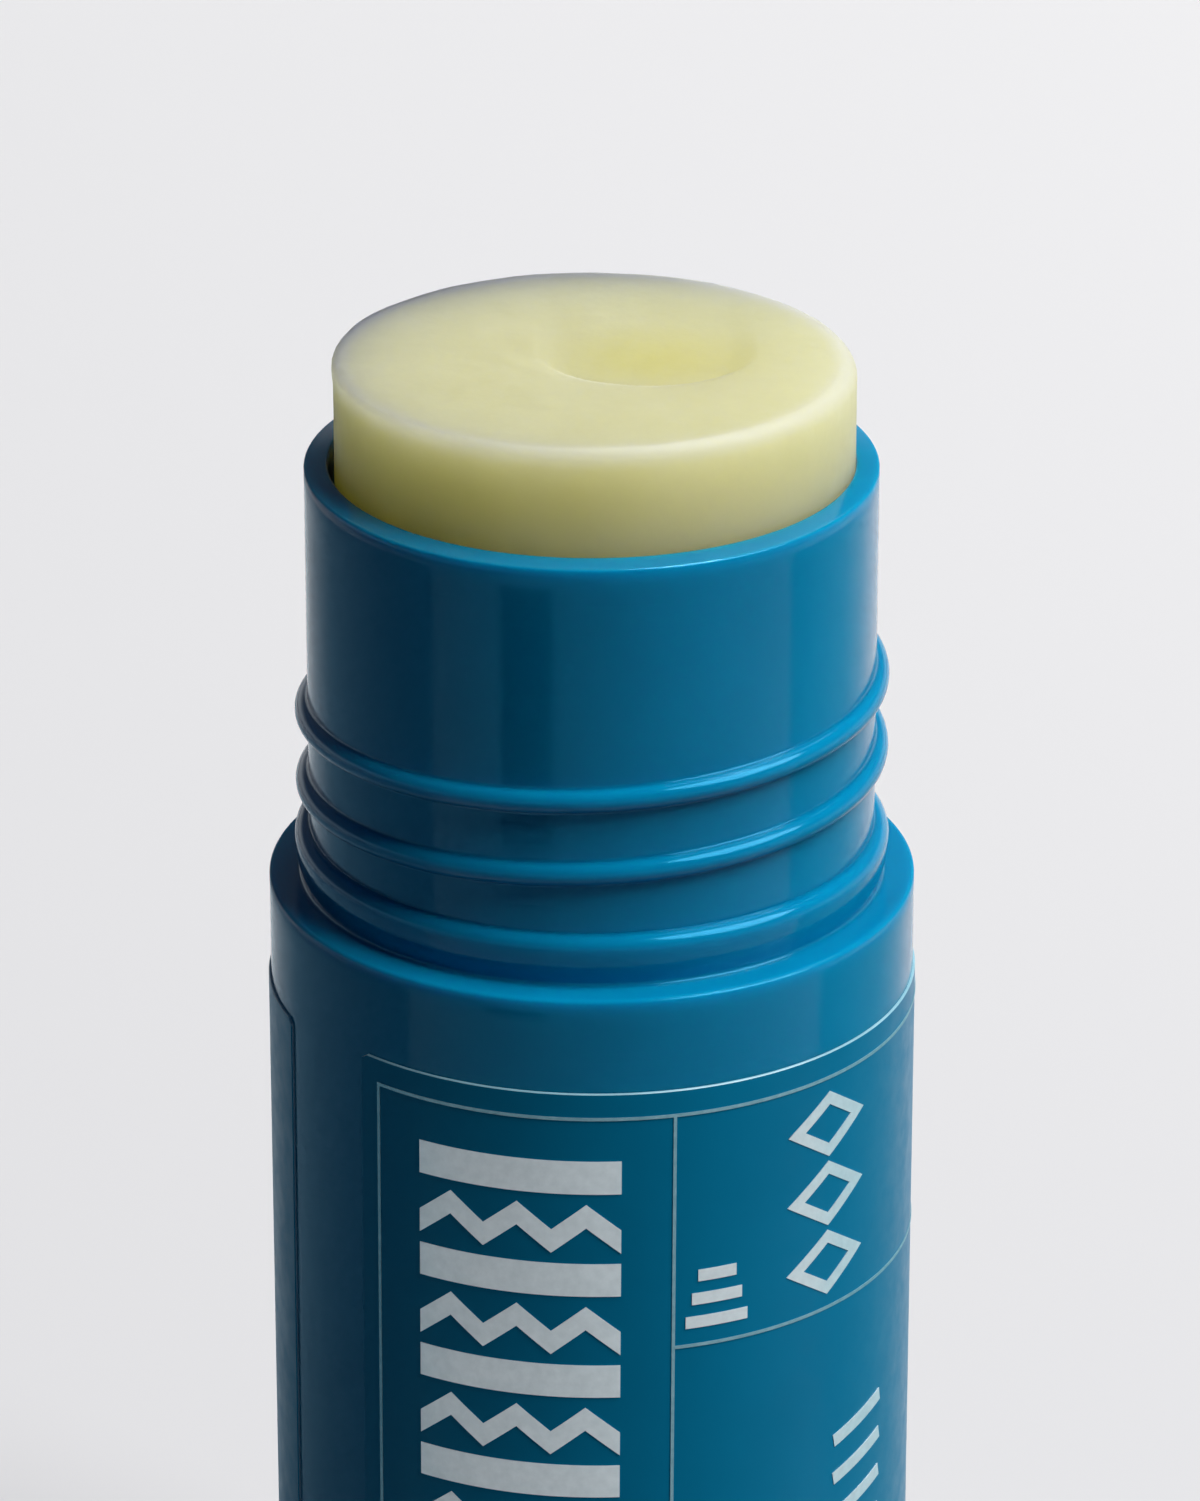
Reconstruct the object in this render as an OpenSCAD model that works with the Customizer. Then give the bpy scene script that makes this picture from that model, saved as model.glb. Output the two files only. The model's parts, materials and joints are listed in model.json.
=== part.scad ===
// A chunky twist-up lip balm stick with a screw-threaded neck. Its cap is off and the balm is
// wound up a little. The origin is the centre of the base, +Z is up along the tube, and the
// front of the label faces -Y. Lengths are in millimetres and angles in degrees. An angle round
// the tube, called a bearing, is 0 at the front and grows towards +X.

/* [Tube] */
// Outer radius of the lower body
body_r = 12.7; // [12.3:0.1:14]
// Height of the flat shelf that the cap closes down to
shelf_z = 50; // [46:1:60]
// Outer radius of the plain neck
neck_r = 11.1; // [10.9:0.05:11.3]
// Height of the rim above the shelf
neck_h = 17; // [15:0.1:20]
// Radius of the bore that the balm slides in
bore_r = 10.2; // [9.7:0.05:10.3]
// How much the neck widens from its plain upper stretch down to the collar
neck_draft = 0.04; // [0:0.01:0.1]
// How far the low collar at the foot of the neck stands out
collar_w = 0.4; // [0.25:0.05:0.8]
// Height of the collar above the shelf
collar_h = 2.05; // [1.6:0.05:2.6]
// Rounding of the shelf's outer edge
shelf_round = 0.15; // [0.1:0.05:0.5]
// Rounding of the rim's outer edge
rim_round = 0.1; // [0.05:0.05:0.5]
// Thickness of the plate across the tube's lower end
plate_t = 1.8; // [1.4:0.1:2.6]

/* [Neck thread] */
// Rise of the cap thread in one turn
thread_pitch = 3; // [2.6:0.1:3.4]
// Radius of the round bead that forms the thread
bead_r = 0.5; // [0.35:0.05:0.6]
// Height above the shelf at which the upper turn crosses the front
bead_front_h = 7.6; // [7.2:0.1:8.6]
// How far the bead runs on round the back past each end of its full turn
bead_tail = 170; // [120:5:175]

/* [Twist dial] */
// Height of the dial
dial_h = 9; // [7.5:0.5:12]
// How far the dial's side stands inside the body's side
dial_inset = 0.2; // [0:0.05:0.5]
// Thickness of the dial's skirt between its grip grooves and its hollow
skirt_t = 1.4; // [1:0.1:1.8]
// Thickness of the dial's floor
dial_floor_t = 1.4; // [1:0.1:2]
// Number of grip grooves round the dial
grip_count = 36; // [24:2:44]
// Radius of the grip grooves
grip_r = 0.55; // [0.3:0.05:0.7]
// Gap between the dial and the tube's lower end
dial_gap = 0.3; // [0.2:0.05:0.5]
// Radius of the journal that turns in the plate
journal_r = 4.5; // [4.2:0.1:4.8]
// Radial running clearance of the journal
journal_clear = 0.08; // [0.04:0.01:0.1]
// How far the snap barb overhangs the plate's hole
barb_over = 0.35; // [0.2:0.05:0.5]
// Height of the snap barb
barb_h = 1.2; // [0.8:0.1:1.6]

/* [Lifting screw] */
// Rise of the lifting screw in one turn
screw_lead = 4; // [3.5:0.25:5]
// Radius of the screw's core
core_r = 2; // [1.8:0.1:2.2]
// Height of the screw's ridge above its core
ridge_h = 0.9; // [0.7:0.1:1]
// Clearance between the ridge and the nut
ridge_clear = 0.3; // [0.2:0.05:0.4]
// How much of the nut the screw still fills when the balm is all the way up
engage_h = 4; // [3:0.5:5]

/* [Elevator] */
// Height of the elevator cup
cup_h = 9; // [8:0.5:12]
// Thickness of the elevator's wall
cup_wall = 0.9; // [0.7:0.1:1.1]
// Clearance between the elevator and the bore
cup_clear = 0.15; // [0.1:0.05:0.25]
// Thickness of the elevator's floor
cup_floor_t = 1.2; // [0.8:0.1:1.6]
// Height of the nut in the elevator
nut_h = 6; // [5.5:0.5:7]
// Wall of the nut outside its thread
nut_wall = 1.4; // [1:0.1:1.6]
// Number of fins that hold the balm's foot
fin_count = 4; // [3:1:6]
// Thickness of the fins
fin_t = 0.8; // [0.6:0.1:1.2]

/* [Guide ribs] */
// Number of ribs in the bore that stop the elevator turning
rib_count = 4; // [3:1:6]
// Width of each rib
rib_w = 1.2; // [0.8:0.1:1.6]
// Height of each rib off the bore
rib_h = 0.4; // [0.3:0.05:0.45]
// Clearance of a rib in its slot
rib_clear = 0.2; // [0.15:0.05:0.25]

/* [Balm] */
// How far the balm stands above the rim as it is now
balm_proud = 4.2; // [3:0.1:5]
// How far below the rim the balm's top goes when it is wound down
park_depth = 1.6; // [1:0.1:2.5]
// Radial clearance between the balm and the bore
balm_clear = 0.15; // [0.15:0.05:0.3]
// How far the balm leans over to the right in the bore
balm_shift = 0.1; // [0:0.02:0.12]
// Rounding of the balm's top edge
lip_round = 0.35; // [0.2:0.05:0.5]
// Radius of the shallow hollow in the balm's top
dish_r = 4.6; // [4:0.2:6]
// Depth of the hollow
dish_depth = 0.3; // [0.3:0.1:1]

/* [Label] */
// Thickness of the label film
label_t = 0.1; // [0.06:0.02:0.2]
// Distance from the shelf down to the label's top edge
label_drop = 3.8; // [3:0.1:5]
// Distance from the tube's lower end up to the label's bottom edge
label_foot = 3.5; // [2:0.5:5]
// Bearing of the label's edge at the front left
label_start = -44; // [-60:1:-30]
// Bare strip between the label's two ends, in degrees
label_open = 22.5; // [10:0.5:30]

/* [Print] */
// Thickness of the ink
ink_t = 0.03; // [0.02:0.01:0.05]
// Distance from the label's top edge to the printed frame
frame_drop = 1.1; // [0.8:0.1:1.6]
// Width of the printed rules
rule_w = 0.16; // [0.12:0.02:0.3]
// Thickness of the broad printed bars
bar_t = 1.4; // [1:0.1:1.6]
// Height of one repeat of the broad bar pattern
repeat_h = 4.4; // [4.2:0.1:5]

/* [Hidden] */
$fn = 96;

// Plastic and print colours
tube_blue = [0.0, 0.43, 0.61];
film_blue = [0.03, 0.36, 0.48];
elevator_white = [0.86, 0.87, 0.84];
balm_yellow = [0.86, 0.84, 0.62];
ink_white = [0.86, 0.9, 0.9];

// Heights of the tube
tube_z = dial_h + dial_gap;
plate_z = tube_z + plate_t;
rim_z = shelf_z + neck_h;
foot_chamfer = 0.3;
collar_r = neck_r + collar_w;
collar_edge = 0.3;
collar_round = min(collar_edge, 0.75 * collar_w);
collar_fillet = 0.12;
rim_inner = 0.1;
arc_steps = 5;

// Neck thread: the bead's root sits this deep in the wall, and each end tapers to a blunt tip
bead_root = 0.3;
bead_fade = 24;
bead_step = 8;
bead_tip = 0.5;
bead_flank = 60;
bead_top = bead_front_h + thread_pitch * bead_tail / 360 + bead_r;
plain_gap = 0.4;
plain_z = shelf_z + bead_top + plain_gap;

// Dial and its snap fit in the plate
dial_r = body_r - dial_inset;
dial_chamfer = 0.35;
groove_out = 0.15;
groove_r = dial_r + groove_out;
skirt_r = groove_r - grip_r - skirt_t;
stand_w = 3.7;
recess_depth = 0.4;
recess_r = dial_r - stand_w;
hub_wall = 1.6;
hub_r = journal_r + hub_wall;
web_count = 6;
web_t = 1;
web_drop = 1.2;
play = 0.15;
hub_z = tube_z - play;
barb_z = plate_z + play;
barb_r = journal_r + journal_clear + barb_over;
barb_top = barb_z + barb_h;

// Travel of the elevator and the balm
travel_down = balm_proud + park_depth;
landing = 0.3;
cup_z = barb_top + landing + travel_down;
stop_below_rim = 1;
travel_up = rim_z - stop_below_rim - cup_z - cup_h;

// Elevator
cup_r = bore_r - cup_clear;
cup_in = cup_r - cup_wall;
cup_chamfer = 0.3;
nut_bore = core_r + ridge_h + ridge_clear;
nut_r = nut_bore + nut_wall;
fin_drop = 1.5;
fin_h = nut_h - fin_drop;

// Lifting screw: the ridge narrows outwards, and the nut's tooth fills the space between turns
screw_top = cup_z + travel_up + engage_h;
ridge_foot = screw_lead * 0.4;
ridge_crest = screw_lead * 0.2;
ridge_slope = (ridge_foot - ridge_crest) / ridge_h;
tooth_foot = screw_lead - ridge_crest - 2 * ridge_clear;
tooth_crest = screw_lead - ridge_foot - 2 * ridge_clear + ridge_slope * ridge_clear;
sink = 0.15;
screw_step = 20;

// Guide ribs: they end low enough to hide the grooves that they leave in the balm
rib_deg = 45;
rib_hide = 0.6;
rib_top = rim_z - travel_down - rib_hide;
rib_r = bore_r - rib_h;
slot_r = rib_r - rib_clear;
slot_w = rib_w + 2 * rib_clear;

// Balm
balm_r = bore_r - balm_clear;
balm_top = rim_z + balm_proud;
balm_foot = cup_z + cup_floor_t;
cup_rim = cup_z + cup_h;
skin = 0.02;
slot_top = rib_top + travel_down + rib_clear;
hole_r = core_r + ridge_h + ridge_clear;
hole_gap = 0.5;
hole_top = screw_top + travel_down + hole_gap;
dish_x = 2.1;
dish_y = 1.6;
dish_ball = (dish_r * dish_r + dish_depth * dish_depth) / (2 * dish_depth);

// Label and print
label_r = body_r + label_t;
label_top = shelf_z - label_drop;
label_low = tube_z + label_foot;
label_deg = 360 - label_open;
frame_top = label_top - frame_drop;
frame_low = label_low + frame_drop;
frame_in_deg = 4.2;
frame_left_deg = label_start + frame_in_deg;
frame_right_deg = 118;
rule_deg = rule_w / 2 / label_r * 180 / PI;
hair = 0.02;
hair_deg = hair / label_r * 180 / PI;
divider_deg = 14.2;
cell_h = 10.1;
cell_low = frame_top - cell_h;
band_deg = -12.9;
band_w = 8.1;
band_drop = 1.8;
band_top = frame_top - band_drop;
band_foot = 1;
band_rows = floor((band_top - frame_low - band_foot) / repeat_h);
zigzag_count = 3;
zigzag_rise = 1.1;
zigzag_t = 1;
motif_deg = 46;
motif_w = 4.3;
motif_h = 2.8;
motif_inset = 0.5;
motif_share = 0.6;
motif_count = 3;
mark_deg = 22.5;
mark_w = 2.6;
mark_t = 0.5;
mark_count = 3;
hatch_deg = 56;
hatch_count = 4;
hatch_l = 3.4;
hatch_t = 0.55;
hatch_drop = 5.8;
hatch_pitch = 1.7;

// Points of an arc about c, from angle a to angle b
function arc(c, r, a, b) =
    [for (i = [0:arc_steps]) let (t = a + (b - a) * i / arc_steps) c + r * [cos(t), sin(t)]];

// A point at radius r, bearing b and height z
function around(r, b, z) = [r * sin(b), -r * cos(b), z];

// A ridge wound up a screw line. section(s) gives its outline as [radius, height] points, where
// s runs from 0 at a faded end to 1 along the full ridge. z_front is its height at bearing 0.
module winding(section, lead, from, to, z_front, step, fade) {
    rings = ceil((to - from) / step);
    outlines = [for (i = [0:rings])
        let (b = from + (to - from) * i / rings)
        let (s = fade == 0 ? 1 : min(1, (b - from) / fade, (to - b) / fade))
        [for (p = section(s)) around(p[0], b, z_front + lead * b / 360 + p[1])]];
    n = len(outlines[0]);
    sides = [for (i = [0:rings - 1], j = [0:n - 1])
        let (a = i * n + j, b = i * n + (j + 1) % n)
        each [[a, b, a + n], [b, b + n, a + n]]];
    ends = [[for (j = [n - 1:-1:0]) j], [for (j = [0:n - 1]) rings * n + j]];
    polyhedron([for (o = outlines) each o], concat(sides, ends), convexity = 10);
}

// Half-round bead with its root sunk in the neck's wall
function bead_section(s) =
    let (h = bead_r * (bead_tip + (1 - bead_tip) * s))
    concat([[neck_r - bead_root, -h]], arc([neck_r, 0], h, -bead_flank, bead_flank),
        [[neck_r - bead_root, h]]);

// Outward ridge of the lifting screw
function ridge_section(s) =
    let (h = ridge_h * max(s, 0.1), crest = ridge_foot - ridge_slope * h)
    let (root = ridge_foot + ridge_slope * sink)
    [[core_r - sink, -root / 2], [core_r + h, -crest / 2], [core_r + h, crest / 2], [core_r - sink, root / 2]];

// Inward tooth of the nut
function tooth_section(s) =
    let (tip = core_r + ridge_clear)
    [[tip, tooth_crest / 2], [tip, -tooth_crest / 2], [nut_bore + sink, -tooth_foot / 2],
     [nut_bore + sink, tooth_foot / 2]];

module tube_shell() {
    rotate_extrude()
        polygon(concat(
            [[journal_r + journal_clear, tube_z], [body_r - foot_chamfer, tube_z],
             [body_r, tube_z + foot_chamfer]],
            arc([body_r - shelf_round, shelf_z - shelf_round], shelf_round, 0, 90),
            [[collar_r + collar_fillet, shelf_z], [collar_r, shelf_z + collar_fillet]],
            arc([collar_r - collar_round, shelf_z + collar_h - collar_round], collar_round, 0, 90),
            [[neck_r + neck_draft, shelf_z + collar_h], [neck_r, plain_z]],
            arc([neck_r - rim_round, rim_z - rim_round], rim_round, 0, 90),
            [[bore_r + rim_inner, rim_z], [bore_r, rim_z - rim_inner], [bore_r, plate_z],
             [journal_r + journal_clear, plate_z]]));
}

module neck_thread() {
    winding(function (s) bead_section(s), thread_pitch, -360 - bead_tail, bead_tail,
        shelf_z + bead_front_h, bead_step, bead_fade);
}

module guide_ribs() {
    for (i = [0:rib_count - 1])
        rotate(rib_deg + i * 360 / rib_count)
            translate([rib_r, -rib_w / 2, plate_z - sink])
                cube([rib_h + sink, rib_w, rib_top - plate_z + sink]);
}

module tube_body() {
    color(tube_blue)
        union() {
            tube_shell();
            neck_thread();
            guide_ribs();
        }
}

module dial_wheel() {
    rotate_extrude()
        polygon([[0, recess_depth], [recess_r, recess_depth], [recess_r + recess_depth, 0],
            [dial_r - dial_chamfer, 0], [dial_r, dial_chamfer], [dial_r, dial_h - dial_chamfer],
            [dial_r - dial_chamfer, dial_h], [skirt_r, dial_h], [skirt_r, dial_floor_t],
            [hub_r, dial_floor_t], [hub_r, hub_z], [journal_r, hub_z], [journal_r, barb_z],
            [barb_r, barb_z], [journal_r - barb_over, barb_top], [core_r, barb_top],
            [core_r, screw_top - core_r / 2], [core_r / 2, screw_top], [0, screw_top]]);
}

module grip_grooves() {
    for (i = [0:grip_count - 1])
        rotate(i * 360 / grip_count)
            translate([groove_r, 0, -1])
                cylinder(r = grip_r, h = dial_h + 2, $fn = 24);
}

module dial_webs() {
    for (i = [0:web_count - 1])
        rotate(i * 360 / web_count)
            translate([hub_r - sink, -web_t / 2, dial_floor_t - sink])
                cube([skirt_r - hub_r + 2 * sink, web_t, dial_h - web_drop - dial_floor_t]);
}

module lifting_screw() {
    start_z = barb_top + ridge_foot;
    end_z = screw_top - core_r / 2 - ridge_foot / 2;
    winding(function (s) ridge_section(s), screw_lead, 0, 360 * (end_z - start_z) / screw_lead,
        start_z, screw_step, 90);
}

module twist_dial() {
    color(tube_blue)
        union() {
            difference() {
                dial_wheel();
                grip_grooves();
            }
            dial_webs();
            lifting_screw();
        }
}

// Slots for the guide ribs, shared by the elevator and the balm
module rib_slots(from, to) {
    for (i = [0:rib_count - 1])
        rotate(rib_deg + i * 360 / rib_count)
            translate([slot_r, -slot_w / 2, from])
                cube([bore_r, slot_w, to - from]);
}

// Fins between the nut and the elevator's wall, shared by the elevator and the balm
module fins() {
    for (i = [0:fin_count - 1])
        rotate(i * 360 / fin_count)
            translate([nut_r - sink, -fin_t / 2, cup_z + cup_floor_t - sink])
                cube([cup_in - nut_r + 2 * sink, fin_t, fin_h - cup_floor_t + sink]);
}

// The tooth lies half a turn of the screw from the ridge, in the same screw line
module nut_tooth() {
    start_z = barb_top + ridge_foot + screw_lead / 2;
    low_z = cup_z + tooth_foot / 2 + sink;
    high_z = cup_z + nut_h - tooth_foot / 2 - sink;
    winding(function (s) tooth_section(s), screw_lead, 360 * (low_z - start_z) / screw_lead,
        360 * (high_z - start_z) / screw_lead, start_z, screw_step, 0);
}

module elevator_cup() {
    color(elevator_white)
        difference() {
            union() {
                rotate_extrude()
                    polygon([[nut_bore, cup_z], [cup_r - cup_chamfer, cup_z], [cup_r, cup_z + cup_chamfer],
                        [cup_r, cup_rim], [cup_in, cup_rim], [cup_in, balm_foot], [nut_r, balm_foot],
                        [nut_r, cup_z + nut_h], [nut_bore, cup_z + nut_h]]);
                fins();
                nut_tooth();
            }
            rib_slots(cup_z - 1, cup_rim + 1);
        }
}

// The balm is cast round the nut and fins, fills the cup and then the bore
module balm_stick() {
    color(balm_yellow)
        difference() {
            union() {
                translate([balm_shift, 0, 0])
                    rotate_extrude()
                        polygon(concat([[0, cup_rim], [balm_r, cup_rim]],
                            arc([balm_r - lip_round, balm_top - lip_round], lip_round, 0, 90),
                            [[0, balm_top]]));
                translate([0, 0, balm_foot])
                    cylinder(r = cup_in - skin, h = cup_h - cup_floor_t + sink);
            }
            translate([0, 0, balm_foot - 1])
                cylinder(r = nut_r + skin, h = nut_h - cup_floor_t + 1);
            cylinder(r = hole_r, h = hole_top);
            fins();
            rib_slots(balm_foot - 1, slot_top);
            translate([dish_x, dish_y, balm_top - dish_depth + dish_ball])
                sphere(r = dish_ball);
        }
}

module label_film() {
    color(film_blue)
        rotate(label_start - 90)
            rotate_extrude(angle = label_deg)
                translate([body_r, label_low])
                    square([label_t, label_top - label_low]);
}

// The layer of ink that each printed shape is cut from
module ink_layer() {
    rotate_extrude()
        translate([label_r, label_low])
            square([ink_t, label_top - label_low]);
}

// A flat shape printed on the label, centred at a bearing and a height
module printed(bearing, z) {
    intersection() {
        ink_layer();
        rotate(bearing)
            translate([0, 0, z])
                rotate([90, 0, 0])
                    linear_extrude(body_r + 2)
                        children();
    }
}

// A printed field between two bearings and two heights, bent to the label
module field(from, to, low, high) {
    rotate(from - 90)
        rotate_extrude(angle = to - from)
            translate([label_r, low])
                square([ink_t, high - low]);
}

// A printed rule that runs round the label
module level_rule(from, to, z) {
    field(from, to, z - rule_w / 2, z + rule_w / 2);
}

// A printed rule that runs down the label
module upright_rule(bearing, low, high) {
    field(bearing - rule_deg, bearing + rule_deg, low, high);
}

// A flat rhombus with corners w apart and h high
module rhombus(w, h) {
    polygon([[w / 2, 0], [0, h / 2], [-w / 2, 0], [0, -h / 2]]);
}

// The frame's rules are printed end to end, a hair apart
module frame_rules() {
    for (z = [frame_top, frame_low])
        level_rule(frame_left_deg - rule_deg, frame_right_deg + rule_deg, z);
    level_rule(divider_deg + rule_deg + hair_deg, frame_right_deg - rule_deg - hair_deg, cell_low);
    for (b = [frame_left_deg, divider_deg, frame_right_deg])
        upright_rule(b, frame_low + rule_w / 2 + hair, frame_top - rule_w / 2 - hair);
}

// One zigzag stroke across the band
module zigzag() {
    run = band_w / zigzag_count;
    half = zigzag_t / 2;
    for (i = [0:zigzag_count - 1])
        translate([(i - zigzag_count / 2) * run, 0])
            polygon([[0, -zigzag_rise / 2 - half], [run / 2, zigzag_rise / 2 - half],
                [run, -zigzag_rise / 2 - half], [run, -zigzag_rise / 2 + half],
                [run / 2, zigzag_rise / 2 + half], [0, -zigzag_rise / 2 + half]]);
}

module broad_band() {
    for (i = [0:band_rows - 1]) {
        z = band_top - i * repeat_h;
        printed(band_deg, z - bar_t / 2)
            square([band_w, bar_t], center = true);
        printed(band_deg, z - bar_t - (repeat_h - bar_t) / 2)
            zigzag();
    }
}

module small_motifs() {
    step = (cell_h - 2 * motif_inset) / motif_count;
    for (i = [0:motif_count - 1])
        printed(motif_deg, frame_top - motif_inset - (i + 0.5) * step)
            difference() {
                rhombus(motif_w, motif_h);
                rhombus(motif_w * motif_share, motif_h * motif_share);
            }
    for (i = [0:mark_count - 1])
        printed(mark_deg, cell_low + (i + 1) * 2 * mark_t)
            square([mark_w - i * mark_t, mark_t], center = true);
    for (i = [0:hatch_count - 1])
        printed(hatch_deg, cell_low - hatch_drop - i * hatch_pitch)
            rotate(12)
                square([hatch_l, hatch_t], center = true);
}

module label_print() {
    color(ink_white) {
        frame_rules();
        broad_band();
        small_motifs();
    }
}

tube_body();
twist_dial();
elevator_cup();
balm_stick();
label_film();
label_print();
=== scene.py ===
"""A twist-up lip balm stick, dressed over its CAD frame.

Shapes are worked out in millimetres in the row's frame, and their meshes are made in metres. A bearing
is an angle round the tube in degrees: 0 at the front (-Y), growing towards +X.
"""

import json
import math

import bmesh
import bpy
import numpy as np
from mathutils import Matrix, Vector, noise

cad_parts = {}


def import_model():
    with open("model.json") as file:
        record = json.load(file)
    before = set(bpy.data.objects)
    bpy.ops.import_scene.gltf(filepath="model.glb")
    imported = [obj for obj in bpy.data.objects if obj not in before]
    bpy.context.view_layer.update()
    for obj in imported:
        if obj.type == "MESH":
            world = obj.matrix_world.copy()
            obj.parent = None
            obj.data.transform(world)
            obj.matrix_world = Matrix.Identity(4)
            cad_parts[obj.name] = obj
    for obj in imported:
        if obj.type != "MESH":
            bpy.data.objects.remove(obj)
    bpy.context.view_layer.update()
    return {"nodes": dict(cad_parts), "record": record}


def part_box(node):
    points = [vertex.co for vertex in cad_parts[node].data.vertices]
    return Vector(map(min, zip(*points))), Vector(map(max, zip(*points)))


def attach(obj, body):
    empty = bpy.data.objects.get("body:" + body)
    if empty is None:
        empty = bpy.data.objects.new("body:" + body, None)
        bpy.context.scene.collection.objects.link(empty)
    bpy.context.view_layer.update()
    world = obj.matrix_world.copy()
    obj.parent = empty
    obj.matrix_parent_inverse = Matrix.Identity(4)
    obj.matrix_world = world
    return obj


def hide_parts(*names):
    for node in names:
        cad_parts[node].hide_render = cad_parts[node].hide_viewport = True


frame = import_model()

MM = 0.001


def cad_corners(node):
    """Lowest and highest corner of a CAD node, in millimetres."""
    return [np.array(corner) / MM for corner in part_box(node)]


def mount_radius(name):
    return next(m["dims"]["r_mm"] for m in frame["record"]["mounts"] if m["name"] == name)


# Tube: the sizes of the CAD model
TUBE_LOW, TUBE_HIGH = cad_corners("tube_body")
BODY_R = TUBE_HIGH[0]
FOOT_Z, RIM_Z = TUBE_LOW[2], TUBE_HIGH[2]
NECK_R = mount_radius("cap_neck")
NECK_H = 17.0
SHELF_Z = RIM_Z - NECK_H
BORE_R = 10.2
PLATE_Z = FOOT_Z + 1.8
HOLE_R = 4.58
FOOT_CHAMFER = 0.3

# Tube: its finer forms
SHELF_ROUND = 0.15
COLLAR_R, COLLAR_H, COLLAR_ROUND = 11.67, 2.05, 0.5
COLLAR_BARREL, COLLAR_FILLET = 4.4, 0.15
RIM_ROUND = 0.1
RIM_INNER = 0.06
RIM_CROWN = 0.12

# Guide ribs in the bore
RIB_W, RIB_H, RIB_TOP = 1.2, 0.4, RIM_Z - 6.4
RIB_ROOT = 0.2  # how deep a rib goes into the wall and the plate
RIB_BEARINGS = (45, 135, 225, 315)

# Neck thread
PITCH = 3.0
BEAD_R = 0.46
BEAD_OUT = 0.045  # how far the bead's centre lies outside the neck's wall
BEAD_ROOT = 0.14
BEAD_FRONT = SHELF_Z + 7.6
BEAD_FROM, BEAD_TO = -530, 170  # degrees along the thread, 0 at the front
BEAD_FADE = 26
ROW_TURNS = (-2, -1, 0, 1)  # the turns whose rows fill the thread's zone
THREAD_LOW, THREAD_HIGH = SHELF_Z + COLLAR_H + 0.12, SHELF_Z + 10

# Balm
BALM_TOP = cad_corners("balm_stick")[1][2]
BALM_R = 10.05
BALM_X, BALM_Y = 0.13, 0.06  # its centre, off the tube's axis
BALM_TILT = 0.008
BALM_EDGE = 0.8  # the band along its edge whose rows follow the uneven lip
BALM_STEP = 0.15  # between the rings from the middle out to that band
BALM_SAG = 0.9  # the depth by which the burr has faded into the side
BALM_COLUMNS = 361
BALM_SWELL, SWELL_SCALE = 0.03, 0.28  # the soft waves in its top: their height, and waves per mm
BALM_WAVER = 0.012  # the same in its side
CROWN_IN, CROWN_W = 1.6, 1.4  # where the top starts to rise to its edge, and over how far
DISH_X, DISH_Y = 2.1, 1.6
DISH_A, DISH_B = 4.4, 4.6
DISH_DEPTH = 0.3
DISH_FRONT = 0.45  # over how far its steep front goes down
DISH_FLOOR = 1.6  # the larger, the wider its floor from side to side
CUP_Z = cad_corners("elevator_cup")[0][2]
CUP_RIM = cad_corners("elevator_cup")[1][2]
CUP_IN = 9.13
NUT_R, NUT_TOP = 4.62, CUP_Z + 6.02
BALM_FOOT = CUP_Z + 1.2
SCREW_R, SCREW_TOP = 3.2, RIM_Z + 0.3
SLOT_R, SLOT_HALF, SLOT_TOP = 9.6, 4.4, RIM_Z - 0.4

# Label: a point on it is u along from its left edge and v down from its top edge
LABEL_R = BODY_R + 0.1
LABEL_START = -44.0
LABEL_ARC = 337.5
LABEL_U = math.radians(LABEL_ARC) * LABEL_R
LABEL_V = 33.4
LABEL_TOP = SHELF_Z - 3.82
LABEL_RISE = -0.6
LABEL_LEAN = -0.005
LABEL_BEVEL = 0.035
LABEL_CORNER = 0.35
LABEL_COLUMNS, LABEL_ROWS = 226, 12

# Faces round the tube
COLUMNS = 240


# Mesh building

class Shell:
    """Rows of points in millimetres, and the faces that join them."""

    def __init__(self):
        self.points, self.faces, self.groups = [], [], []
        self.size = 0

    def row(self, points):
        points = np.asarray(points, float)
        index = np.arange(self.size, self.size + len(points))
        self.points.append(points)
        self.size += len(points)
        return index

    def face(self, corners, group=0):
        self.faces.append(tuple(int(i) for i in corners))
        self.groups.append(group)

    def bridge(self, low, high, group=0):
        for i in range(len(low) - 1):
            self.face((low[i], low[i + 1], high[i + 1], high[i]), group)

    def skin(self, rows, group=0):
        index = [self.row(points) for points in rows]
        for low, high in zip(index, index[1:]):
            self.bridge(low, high, group)
        return index

    def box(self, corner):
        """A closed block from eight points: four round its foot, then four round its top."""
        i = self.row(corner)
        for quad in ((3, 2, 1, 0), (4, 5, 6, 7), (0, 1, 5, 4), (1, 2, 6, 5), (2, 3, 7, 6), (3, 0, 4, 7)):
            self.face(i[list(quad)])

    def build(self, name, materials, crease=38, weld=0.0015):
        mesh = bpy.data.meshes.new(name)
        mesh.from_pydata((np.concatenate(self.points) * MM).tolist(), [], self.faces)
        for material in materials:
            mesh.materials.append(material)
        mesh.polygons.foreach_set("material_index", self.groups)
        mesh.polygons.foreach_set("use_smooth", [True] * len(self.faces))
        bm = bmesh.new()
        bm.from_mesh(mesh)
        bmesh.ops.remove_doubles(bm, verts=bm.verts, dist=weld * MM)
        bmesh.ops.recalc_face_normals(bm, faces=bm.faces)
        bm.to_mesh(mesh)
        bm.free()
        mesh.set_sharp_from_angle(angle=math.radians(crease))
        piece = bpy.data.objects.new(name, mesh)
        bpy.context.scene.collection.objects.link(piece)
        return piece


def around(bearing, r, z):
    """Points at a bearing, a radius and a height; any of the three may be an array."""
    b = np.radians(np.asarray(bearing, float))
    return np.stack(np.broadcast_arrays(r * np.sin(b), -r * np.cos(b), z), axis=-1)


def arc(r, z, radius, start, end, steps=8):
    """Outline points on an arc about (r, z)."""
    return [(r + radius * math.cos(t), z + radius * math.sin(t))
            for t in np.radians(np.linspace(start, end, steps + 1))]


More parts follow.
